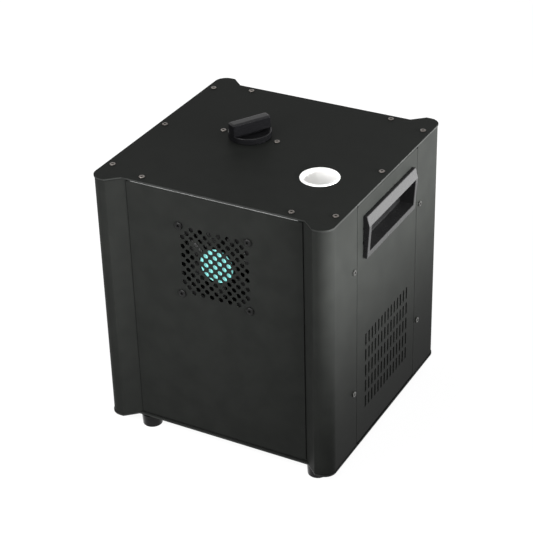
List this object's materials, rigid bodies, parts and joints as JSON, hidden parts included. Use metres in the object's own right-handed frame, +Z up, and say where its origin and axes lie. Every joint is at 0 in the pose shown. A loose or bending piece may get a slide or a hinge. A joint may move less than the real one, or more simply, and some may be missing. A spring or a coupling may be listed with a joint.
{
  "type": "cold spark machine",
  "caption": "Compact stage machine that throws cold sparks up from a nozzle: black box with fan grille, granule hopper, pull handles and rear controls.",
  "frame": {"origin": "on the floor under the middle of the box", "axes": "+Z up, -Y out of the fan-grille side, +Y out of the control side, X across the handle sides"},
  "size_m": [0.2556, 0.244, 0.2941],
  "materials": {
    "powder_coat": "fine black powder coat",
    "black_plastic": "moulded black",
    "gloss_plastic": "gloss black",
    "rubber": "black",
    "ceramic": "unglazed white",
    "pale_screw": "pale bronze",
    "steel": "plain",
    "black_screw": "black oxide",
    "copper": "bare copper tube",
    "aluminium": "mill finish",
    "fan_label": "plain teal disc",
    "circuit_board": "green lacquer",
    "display_glass": "dark, unlit"
  },
  "bodies": {
    "body": {"fan_panel": "powder_coat", "fan_frame": "black_plastic", "fan_label": "fan_label", "fan_screw_1": "black_screw", "fan_screw_2": "black_screw", "fan_screw_3": "black_screw", "fan_screw_4": "black_screw", "control_panel": "powder_coat", "control_board": "circuit_board", "display_bezel": "gloss_plastic", "display_screen": "display_glass", "signal_in_socket": "black_screw", "signal_out_socket": "black_screw", "mains_inlet": "black_plastic", "mains_outlet": "black_plastic", "fuse_holder": "black_plastic", "switch_housing": "gloss_plastic", "side_panel_right": "powder_coat", "handle_cup_right": "black_plastic", "side_panel_left": "powder_coat", "handle_cup_left": "black_plastic", "top_plate": "powder_coat", "base_plate": "powder_coat", "corner_post_front_left": "powder_coat", "corner_post_front_right": "powder_coat", "corner_post_rear_left": "powder_coat", "corner_post_rear_right": "powder_coat", "top_screw_front_left": "pale_screw", "top_screw_front_right": "pale_screw", "top_screw_rear_left": "pale_screw", "top_screw_rear_right": "pale_screw", "foot_front_left": "rubber", "foot_front_right": "rubber", "foot_rear_left": "rubber", "foot_rear_right": "rubber", "hopper_collar": "aluminium", "hopper": "aluminium", "nozzle_tube": "ceramic", "heater_core": "steel", "core_sleeve": "ceramic", "induction_coil": "copper", "feed_tube": "aluminium", "feed_motor": "steel", "feed_bracket": "aluminium", "blower_housing": "black_plastic", "blower_motor": "steel", "power_supply": "aluminium", "heater_driver": "aluminium"},
    "fan_rotor": {"fan_rotor": "black_plastic"},
    "blower_impeller": {"blower_impeller": "black_plastic"},
    "auger": {"auger": "steel"},
    "cap_seal": {"cap_seal": "rubber"},
    "hopper_cap": {"hopper_cap": "gloss_plastic"},
    "button_menu": {"button_menu": "black_plastic"},
    "button_down": {"button_down": "black_plastic"},
    "button_up": {"button_up": "black_plastic"},
    "button_enter": {"button_enter": "black_plastic"},
    "signal_latch": {"signal_latch": "steel"},
    "fuse_cap": {"fuse_cap": "black_plastic"},
    "switch_rocker": {"switch_rocker": "gloss_plastic"}
  },
  "joints": [
    {"name": "cap_lift", "type": "slide", "parent": "body", "child": "cap_seal", "axis": [0, 0, 1], "range_m": [0, 0.08]},
    {"name": "cap_twist", "type": "hinge", "parent": "cap_seal", "child": "hopper_cap", "pos_m": [-0.0283, 0.0128, 0.28], "axis": [0, 0, 1], "range_deg": [0, 90]},
    {"name": "fan_spin", "type": "hinge", "parent": "body", "child": "fan_rotor", "pos_m": [0, -0.1, 0.2034], "axis": [0, 1, 0], "continuous": true},
    {"name": "blower_spin", "type": "hinge", "parent": "body", "child": "blower_impeller", "pos_m": [0.041, -0.03, 0.058], "axis": [0, 1, 0], "continuous": true},
    {"name": "auger_spin", "type": "hinge", "parent": "body", "child": "auger", "pos_m": [0.069, -0.0338, 0.14], "axis": [-0.9019, 0.4319, 0], "continuous": true},
    {"name": "button_menu_press", "type": "slide", "parent": "body", "child": "button_menu", "axis": [0, -1, 0], "range_m": [0, 0.0015], "stiffness_N_per_m": 300},
    {"name": "button_down_press", "type": "slide", "parent": "body", "child": "button_down", "axis": [0, -1, 0], "range_m": [0, 0.0015], "stiffness_N_per_m": 300},
    {"name": "button_up_press", "type": "slide", "parent": "body", "child": "button_up", "axis": [0, -1, 0], "range_m": [0, 0.0015], "stiffness_N_per_m": 300},
    {"name": "button_enter_press", "type": "slide", "parent": "body", "child": "button_enter", "axis": [0, -1, 0], "range_m": [0, 0.0015], "stiffness_N_per_m": 300},
    {"name": "signal_latch_press", "type": "slide", "parent": "body", "child": "signal_latch", "axis": [0, -1, 0], "range_m": [0, 0.001], "stiffness_N_per_m": 300},
    {"name": "fuse_cap_turn", "type": "hinge", "parent": "body", "child": "fuse_cap", "pos_m": [-0.05, 0.1094, 0.117], "axis": [0, 1, 0], "range_deg": [0, 90]},
    {"name": "power_switch_tip", "type": "hinge", "parent": "body", "child": "switch_rocker", "pos_m": [0, 0.1094, 0.083], "axis": [1, 0, 0], "range_deg": [0, 18]}
  ]
}
